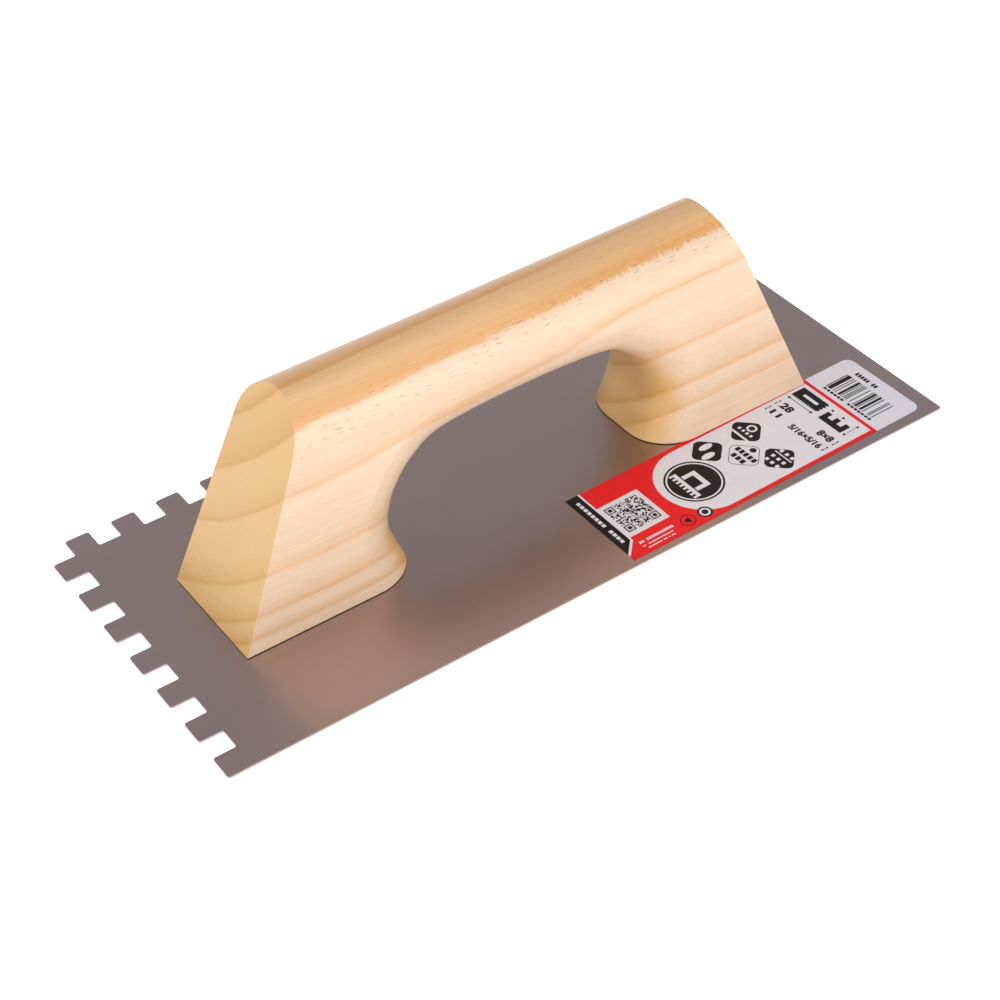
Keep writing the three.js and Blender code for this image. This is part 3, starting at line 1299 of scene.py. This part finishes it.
@dataclass
class Label:
    """The printed paper label, whose back edge is caught under the handle's right foot."""

    length: float = 125.4
    width: float = 35.8
    thickness: float = 0.15
    middle: Spot = (71.4, -38.9)
    turn: float = 0.85
    round_corner: float = 3.2
    square_corner: float = 0.6
    bottom: float = 0.7
    tab: float = 104.9  # where the plain tab with the stripes begins
    strip: float = 4.8  # the black strip at the left end
    line: float = 0.7  # the white line beside it
    emblem: Spot = (39.5, 17.75)
    emblem_radius: float = 10.2
    target: Spot = (32.4, 4.0)
    sign: Spot = (25.5, 4.2)
    code_low: Spot = (6.8, 11.2)
    code_high: Spot = (20.4, 24.8)
    code_cells: int = 29
    plate_low: Spot = (96.2, 20.4)
    plate_high: Spot = (101.8, 32.7)
    plate_cells: tuple[int, int] = (8, 26)
    tooth: float = 0.8
    stripes: int = 67
    ink: float = 0.14  # how far the inks reach down, which colours the paper's edge too
    over: float = 0.03
    seed: int = 11

    def _lay(self, piece: bpy.types.Object) -> bpy.types.Object:
        """Moves a piece from the label's own millimetres to its place on the blade."""
        turn = math.radians(self.turn)
        corner = Vector((-self.length / 2, -self.width / 2))
        corner.rotate(Matrix.Rotation(turn, 2))
        piece.scale = (MM, MM, MM)
        piece.rotation_euler = (0, 0, turn)
        piece.location = metres(
            self.middle[0] + corner.x, self.middle[1] + corner.y, self.bottom + self.thickness
        )
        settle(piece)
        return piece

    def _paper(self) -> bpy.types.Object:
        """The sheet with its two round and two nearly square corners."""
        stock = Inking("label_stock", random.Random(self.seed))
        half = self.length / 2
        size = (self.length, self.width)
        sheet = stock.block(
            (0, 0), size, Level.FIELD, self.round_corner, lambda point: point.co.x > half
        )
        with editing(sheet, Pick.POINTS):
            choose(sheet, Pick.POINTS, lambda point: point.co.x < 0.01)
            bpy.ops.mesh.bevel(offset=self.square_corner, segments=4, affect="VERTICES")
            bpy.ops.mesh.select_all(action="SELECT")
            bpy.ops.transform.translate(value=(0, 0, -Level.FIELD.value))
        paper = stock.press(self.thickness)

        def top_rim(edge: bmesh.types.BMEdge) -> bool:
            """Whether an edge runs round the sheet's upper face."""
            return all(abs(vertex.co.z) < 1e-6 for vertex in edge.verts)

        with editing(paper, Pick.EDGES):
            choose(paper, Pick.EDGES, top_rim)
            bpy.ops.mesh.bevel(offset=0.04, segments=2)
        return self._lay(paper)

    def _red(self, draws: random.Random) -> bpy.types.Object:
        """The red field."""
        red = Inking("label_red", draws)
        over = self.over
        red.block((5.2, -over), (self.tab, self.width + over), Level.FIELD)
        corner = red.block((-over, -over), (5.2, 8.1), Level.FIELD)
        red.nudge(corner, (-over, 8.1), (0, -5.4))
        return self._lay(red.press(self.ink))

    def _white(self, draws: random.Random) -> bpy.types.Object:
        """The white panel, lines and marks."""
        white = Inking("label_white", draws)
        level = Level.PANEL
        back, left, right = self.width + self.over, self.strip, self.strip + self.line
        # The line beside the black strip, which turns off to the corner.
        upright = white.block((left, 8.3), (right, back), level)
        white.nudge(upright, (right, 8.3), (0, -0.6))
        slant = white.block((-self.over, 2.0), (right, 3.2), level)
        white.nudge(slant, (right, 2.0), (0, 5.7))
        white.nudge(slant, (right, 3.2), (-self.line, 5.1))
        white.block((right, 9.2), (22.0, 26.5), level)
        round_end = 16.2
        white.block((26.6, 1.5), (103.4, 34.0), level, round_end, lambda point: point.co.x < 30)
        white.words((6.2, 4.7), (20.2, 5.8), level, 14, 0.92)
        for low, high in (((6.2, 3.05), (18.6, 3.6)), ((6.2, 1.55), (18.4, 2.1))):
            white.words(low, high, level, 22, 0.88)

        level = Level.TOP_MARK
        white.words((1.75, 8.6), (3.05, 33.2), level, 13, 0.9)
        white.ring(self.target, 1.9, 0.75, level)
        self._trowel_sign(white, level)
        for middle, turn in (((51.6, 24.9), -40), ((53.9, 29.0), 38)):
            self._leaf(white, middle, turn, level)
        # A ruler over three marks, and a plate of dots on a line.
        white.block((66.6, 22.8), (67.5, 30.8), level)
        white.cells((69.0, 23.4), (70.2, 30.2), (1, 7), level, every_other)
        white.ring((72.6, 26.8), 1.9, 0.75, level)
        dots = ((65.3, 6.0), (69.5, 12.4), (3, 5))
        white.cells(*dots, level, lambda column, row: column % 2 == 0 and row % 2 == 0)
        white.block((70.7, 5.2), (71.2, 13.2), level)
        white.cells((71.9, 6.0), (73.3, 12.4), (1, 5), level, every_other)
        white.block((98.2, 22.7), (99.5, 29.6), level)
        return self._lay(white.press(self.ink))

    def _trowel_sign(self, white: Inking, level: Level) -> None:
        """A notched plate and its handle, seen from above, in a ring.

        Args:
            white: The ink.
            level: Its layer.
        """
        white.ring(self.emblem, 9.5, 0.6, level)
        plate = ((34.1, 11.0), (36.9, 24.5), (2, 15))
        white.cells(*plate, level, lambda column, row: column > 0 or row % 2 == 0)
        handle = ((37.4, 13.4), (43.0, 22.1), (3, 5))
        white.cells(*handle, level, lambda column, row: column == 2 or row in (0, 4))

    def _leaf(self, white: Inking, middle: Spot, turn: float, level: Level) -> None:
        """A disc pressed to a leaf.

        Args:
            white: The ink.
            middle: Its middle.
            turn: How far it is turned, in degrees.
            level: Its layer.
        """
        leaf = white.disc(middle, 2.4, level, 24, turn)
        along = Matrix.Rotation(math.radians(turn), 3, "Z").transposed()
        with editing(leaf, Pick.POINTS):
            bpy.ops.mesh.select_all(action="SELECT")
            bpy.ops.transform.resize(value=(1.15, 0.55, 1), orient_matrix=along, orient_type="LOCAL")

    def _matrix(self, black: Inking) -> None:
        """A square of random cells with a plain target in three of its corners."""
        cells, target = self.code_cells, 8
        last = cells - 1

        def keep(column: int, row: int) -> bool:
            """Whether a cell is inked."""
            for to_left, to_front in ((True, True), (True, False), (False, True)):
                across = column if to_left else last - column
                along = row if to_front else last - row
                if across < target and along < target:
                    ring = max(abs(across - 3), abs(along - 3))
                    return ring in (0, 1, 3)
            return inked[column][row]

        inked = [[black.draws.random() < 0.5 for _ in range(cells)] for _ in range(cells)]
        black.cells(self.code_low, self.code_high, (cells, cells), Level.MARK, keep)

    def _size_marks(self, black: Inking) -> None:
        """The sizes of the blade and of its notches, with their dimension lines."""
        level = Level.MARK
        black.figures("28", (87.7, 25.3), (91.2, 30.5), level)
        black.figures("11", (83.0, 25.8), (85.9, 30.1), level)
        black.figures("8\u00d78", (87.6, 5.3), (91.0, 11.9), level)
        black.figures("5/16\u00d75/16", (82.5, 5.3), (85.5, 20.2), level)
        for left, middle in ((87.7, 32.2), (83.0, 32.0), (87.7, 3.7), (82.9, 3.7)):
            black.block((left + 0.9, middle - 0.14), (left + 2.3, middle + 0.14), level)
            black.arrow((left + 0.5, middle), 0.6, level, 90)
            black.arrow((left + 2.7, middle), 0.6, level, -90)
        black.block((93.95, 20.9), (94.25, 31.9), level)
        tips = (
            ((94.1, 31.8), 0),
            ((94.1, 21.0), 180),
            ((100.6, 17.0), 0),
            ((100.6, 11.8), 180),
            ((94.8, 5.3), 90),
            ((100.9, 5.3), -90),
        )
        for tip, turn in tips:
            black.arrow(tip, 0.85, level, turn)
        black.block((95.6, 5.2), (100.1, 5.4), level)

    def _black(self, draws: random.Random) -> bpy.types.Object:
        """The black strip and marks."""
        black = Inking("label_black", draws)
        level = Level.MARK
        high = (self.strip, self.width + self.over)
        strip = black.block((-self.over, 3.3), high, Level.PANEL)
        black.nudge(strip, (self.strip, 3.3), (0, 5.0))
        self._matrix(black)
        self._size_marks(black)
        black.ring(self.sign, 2.7, 0.35, level)
        black.arrow(self.sign, 1.7, level, 90)
        black.disc(self.target, 2.6, level)
        black.disc(self.emblem, self.emblem_radius, level, 64)
        for middle in ((52.9, 27.0), (70.0, 26.8), (69.3, 9.3)):
            black.diamond(middle, 6.9, level)
        black.diamond((61.2, 17.8), 7.2, level, 0.22)
        black.words((57.6, 14.8), (59.7, 21.4), level, 3, 1)
        black.words((60.8, 12.8), (62.9, 22.9), level, 5, 1)
        black.disc((65.3, 17.9), 1.2, level, 20)
        self._saw_plate(black)
        comb = ((94.2, 6.8), (99.1, 17.6), (2, 5))
        black.cells(*comb, level, lambda column, row: column == 0 or row % 2 == 0)

        inked = [black.draws.random() < 0.5 for _ in range(self.stripes)]
        stripes = ((108.3, 5.5), (118.6, 29.2), (1, self.stripes))
        black.cells(*stripes, level, lambda column, row: inked[row])
        black.words((106.7, 5.6), (107.7, 29.0), level, 14, 0.9)
        black.words((120.4, 17.2), (122.1, 29.0), level, 9, 0.9)
        return self._lay(black.press(self.ink))

    def _saw_plate(self, black: Inking) -> None:
        """The small plate with saw teeth along its left and front edges.

        Args:
            black: The ink.
        """
        low, high, count = self.plate_low, self.plate_high, self.plate_cells
        plate = black.cells(low, high, count, Level.MARK, lambda column, row: True)
        for index, pull in ((0, (-self.tooth, 0, 0)), (1, (0, -self.tooth, 0))):
            other = 1 - index
            edge = min(vertex.co[index] for vertex in plate.data.vertices)
            pitch = (high[other] - low[other]) / count[other]

            def is_tip(point: bmesh.types.BMVert) -> bool:
                """Whether a point of this edge is the tip of a saw tooth."""
                number = round((point.co[other] - low[other]) / pitch)
                return point.co[index] < edge + 0.01 and number % 2 == 1

            with editing(plate, Pick.POINTS):
                choose(plate, Pick.POINTS, is_tip)
                bpy.ops.transform.translate(value=pull)

    def build(self) -> None:
        """Builds the paper and its three inks."""
        draws = random.Random(self.seed)
        stock = Print("label_stock", (0.655, 0.62, 0.685)).build()
        hand_over(self._paper(), stock, "label_paper", "label")
        for piece, finish in (
            (self._red(draws), Print("red_ink", (0.72, 0.012, 0.015), gloss=0.2)),
            (self._white(draws), Print("white_ink", (0.67, 0.635, 0.68))),
            (self._black(draws), Print("black_ink", (0.009, 0.006, 0.007), gloss=0.2)),
        ):
            hand_over(piece, finish.build(), "label_paper")


# ---- Screws ----------------------------------------------------------------------------------------


@dataclass
class Screws:
    """Six countersunk wood screws with a cross recess, driven up through the blade into the feet."""

    places: dict[str, Spot]
    head_radius: float = 3.55
    head_rim: float = 0.18
    core_radius: float = 1.2
    neck_radius: float = 1.5
    thread_radius: float = 1.72
    pitch: float = 1.5
    length: float = 20
    neck: float = 4.0
    tip: float = 5
    sunk: float = 0.05
    recess_across: float = 4.2
    recess_width: float = 0.95
    recess_depth: float = 1.15
    recess_taper: Spot = (0.45, 0.6)  # how far each bit narrows along and across
    shoulder: float = 0.25  # where the neck steps down to the core
    point: float = 0.1
    first_turn: float = 23
    next_turn: float = 37

    def _body(self) -> bpy.types.Object:
        """The head, the neck and the pointed core, extruded from one disc."""
        take()
        bpy.ops.mesh.primitive_circle_add(
            vertices=48, radius=self.head_radius * MM, fill_type="NGON", location=metres(0, 0, self.sunk)
        )
        body = named("screw")
        settle(body)
        steps = (
            (self.head_rim, self.head_radius),
            (self.head_radius - self.neck_radius, self.neck_radius),
            (self.neck - self.head_rim - self.head_radius + self.neck_radius, self.neck_radius),
            (self.shoulder, self.core_radius),
            (self.length - self.neck - self.shoulder - self.tip, self.core_radius),
            (self.tip - self.point, 0.08),
            (self.point, 0.01),
        )
        radius = self.head_radius
        with editing(body):
            bpy.ops.mesh.select_all(action="SELECT")
            for rise, next_radius in steps:
                bpy.ops.mesh.extrude_region_move(TRANSFORM_OT_translate={"value": (0, 0, rise * MM)})
                share = next_radius / radius
                bpy.ops.transform.resize(value=(share, share, 1))
                radius = next_radius
            bpy.ops.mesh.select_all(action="SELECT")
            bpy.ops.mesh.normals_make_consistent(inside=False)
        return body

    def _thread(self) -> bpy.types.Object:
        """The thread's ridge, one small triangle wound up the core."""
        take()
        start, rooted = self.neck + 0.6, 0.15  # the ridge's foot lies this deep in the core
        ridge = self.thread_radius - self.core_radius + rooted
        bpy.ops.mesh.primitive_circle_add(
            vertices=3,
            radius=ridge * 0.66 * MM,
            fill_type="NOTHING",
            location=metres(self.core_radius - rooted + ridge * 0.33, 0, start),
            rotation=(math.radians(90), 0, 0),
        )
        thread = named("thread")
        settle(thread)
        with editing(thread, Pick.POINTS):
            bpy.ops.mesh.select_all(action="SELECT")
            reach = max(vertex.co.x for vertex in thread.data.vertices)
            bpy.ops.transform.translate(value=(self.thread_radius * MM - reach, 0, 0))
        turns = int((self.length - self.tip - start) / self.pitch)
        apply(
            thread,
            "SCREW",
            axis="Z",
            angle=math.tau,
            screw_offset=self.pitch * MM,
            iterations=turns,
            steps=20,
            render_steps=20,
            use_merge_vertices=False,
        )
        with editing(thread, Pick.EDGES):
            for top in (False, True):
                middle = (start + turns * self.pitch / 2) * MM
                choose(
                    thread,
                    Pick.EDGES,
                    lambda edge: edge.is_boundary and (edge.verts[0].co.z > middle) == top,
                )
                bpy.ops.mesh.edge_face_add()
            bpy.ops.mesh.select_all(action="SELECT")
            bpy.ops.mesh.normals_make_consistent(inside=False)
        return thread

    def _model(self) -> bpy.types.Object:
        """One whole screw, upright at the origin."""
        screw = self._body()
        cut(screw, self._thread(), Cut.JOIN)
        below = 1.0
        middle = (0, 0, self.sunk + (self.recess_depth - below) / 2)
        size = (self.recess_across, self.recess_width, self.recess_depth + below)
        for turn in (0, 90):
            bit = box("bit", middle, size)
            with editing(bit):
                choose(bit, Pick.FACES, lambda face: face.normal.z > 0.9)
                bpy.ops.transform.resize(value=(*self.recess_taper, 1))
            bit.rotation_euler = (0, 0, math.radians(turn))
            settle(bit)
            cut(screw, bit)
        smooth(screw)
        return screw

    def build(self) -> None:
        """Builds the screws and gives them their zinc."""
        model = self._model()
        zinc = ZincPlate().build()
        for number, (node, (x, y)) in enumerate(self.places.items()):
            take(model)
            bpy.ops.object.duplicate()
            screw = named(f"{node}_zinc")
            screw.location = metres(x, y, 0)
            screw.rotation_euler = (0, 0, math.radians(self.first_turn + self.next_turn * number))
            settle(screw)
            hand_over(screw, zinc, "screw_steel", node)
        bpy.data.objects.remove(model, do_unlink=True)


# ---- Studio ----------------------------------------------------------------------------------------


@dataclass(frozen=True)
class Lamp:
    """A soft rectangular lamp that faces the trowel. Its place and size are in metres."""

    name: str
    place: Point
    size: Spot
    power: float
    colour: Colour = (1.0, 1.0, 1.0)
    aim: Point = (0, 0, 0.03)

    def build(self) -> bpy.types.Object:
        """Hangs the lamp.

        Returns:
            The lamp.
        """
        data = bpy.data.lights.new(self.name, "AREA")
        data.shape = "RECTANGLE"
        data.size, data.size_y = self.size
        data.energy = self.power
        data.color = self.colour
        lamp = bpy.data.objects.new(self.name, data)
        bpy.context.scene.collection.objects.link(lamp)
        lamp.location = self.place
        towards = Vector(self.aim) - Vector(self.place)
        lamp.rotation_euler = towards.to_track_quat("-Z", "Y").to_euler()
        return lamp


@dataclass
class Studio:
    """A white floor, soft lamps, pale air and the camera."""

    floor_side: float = 30.0
    floor_glow: float = 0.5
    clearance: float = 0.15  # the floor stays this far below the blade
    front: Lamp = Lamp("front_lamp", (0.12, -1.7, 0.7), (2.3, 1.4), 20.5, (1.0, 0.985, 0.965))
    top: Lamp = Lamp("top_lamp", (-0.1, -0.3, 1.9), (1.6, 1.6), 12.5)
    left: Lamp = Lamp("left_lamp", (-1.5, -0.25, 0.5), (1.4, 1.0), 5.5)
    overhead: float = 0.455  # how bright the air is above, against 1 for white
    horizon: float = 0.94
    camera_place: Point = (-301.13, -442.88, 453.09)
    camera_turn: Point = (49.1912, 1.6266, -35.3911)
    lens: float = 76.211

    def _floor(self) -> None:
        """The white floor."""
        take()
        bpy.ops.mesh.primitive_plane_add(size=self.floor_side, location=metres(0, 0, -self.clearance))
        floor = named("floor")
        settle(floor)
        graph = Graph("white_floor")
        place = graph.place()
        cloud = graph.noise(place, (0.004, 0.004, 0.004), 2)
        floor.data.materials.append(
            graph.finish(
                Base_Color=graph.blend(cloud + 0.5, (0.86, 0.86, 0.86), (0.9, 0.9, 0.9)),
                Roughness=0.9,
                Specular_IOR_Level=0.1,
                Emission_Color=(1, 1, 1),
                Emission_Strength=self.floor_glow,
            )
        )

    def _spare(self, lamp: bpy.types.Object, piece: bpy.types.Object) -> None:
        """Keeps a lamp's light, and its mirror image, off one piece.

        Args:
            lamp: The lamp.
            piece: The piece it doesn't light.
        """
        spared = bpy.data.collections.new("spared")
        spared.objects.link(piece)
        spared.collection_objects[0].light_linking.link_state = "EXCLUDE"
        lamp.light_linking.receiver_collection = spared

    def _air(self) -> None:
        """Air that is white at the horizon and greyer overhead."""
        graph = Graph("studio_air", air=True)
        height = graph.split(graph.add("ShaderNodeTexCoord").outputs["Generated"])[2]
        dim = ((-1, self.horizon), (0.2, self.horizon), (0.55, self.overhead), (1, self.overhead))
        sky = graph.add("ShaderNodeBackground", Color=(1, 1, 1), Strength=graph.curve(height, dim))
        graph.add("ShaderNodeOutputWorld", Surface=sky.outputs[0])
        bpy.context.scene.world = graph.owner

    def _camera(self) -> None:
        """The camera, in front of the trowel, above it and to its left."""
        data = bpy.data.cameras.new("camera")
        data.lens = self.lens
        data.sensor_width = 36
        data.clip_start = 0.01
        data.clip_end = 50
        camera = bpy.data.objects.new("camera", data)
        camera.location = metres(*self.camera_place)
        camera.rotation_euler = [math.radians(turn) for turn in self.camera_turn]
        bpy.context.scene.collection.objects.link(camera)
        bpy.context.scene.camera = camera

    def build(self) -> None:
        """Sets up the floor, the lamps, the air and the camera."""
        self._floor()
        lamp = self.front.build()
        self.top.build()
        self.left.build()
        self._spare(lamp, bpy.data.objects["blade_plate"])
        self._air()
        bpy.context.scene.view_settings.view_transform = "Standard"
        self._camera()


def main() -> None:
    """Builds the trowel and the studio, and reports each piece."""
    logging.basicConfig(level=logging.INFO, format="%(name)s: %(message)s")
    half = {"outer": (97.0, 0.0), "front": (67.0, -10.0), "back": (67.0, 10.0)}
    places = {
        f"screw_{hand}_{name}": (side * x, y)
        for hand, side in (("left", -1), ("right", 1))
        for name, (x, y) in half.items()
    }
    Blade(screw_places=tuple(places.values())).build()
    handle = Handle(screw_places=tuple(places.values()))
    handle.dress(handle.build())
    Screws(places).build()
    Label().build()
    Studio().build()


if __name__ == "__main__":
    main()
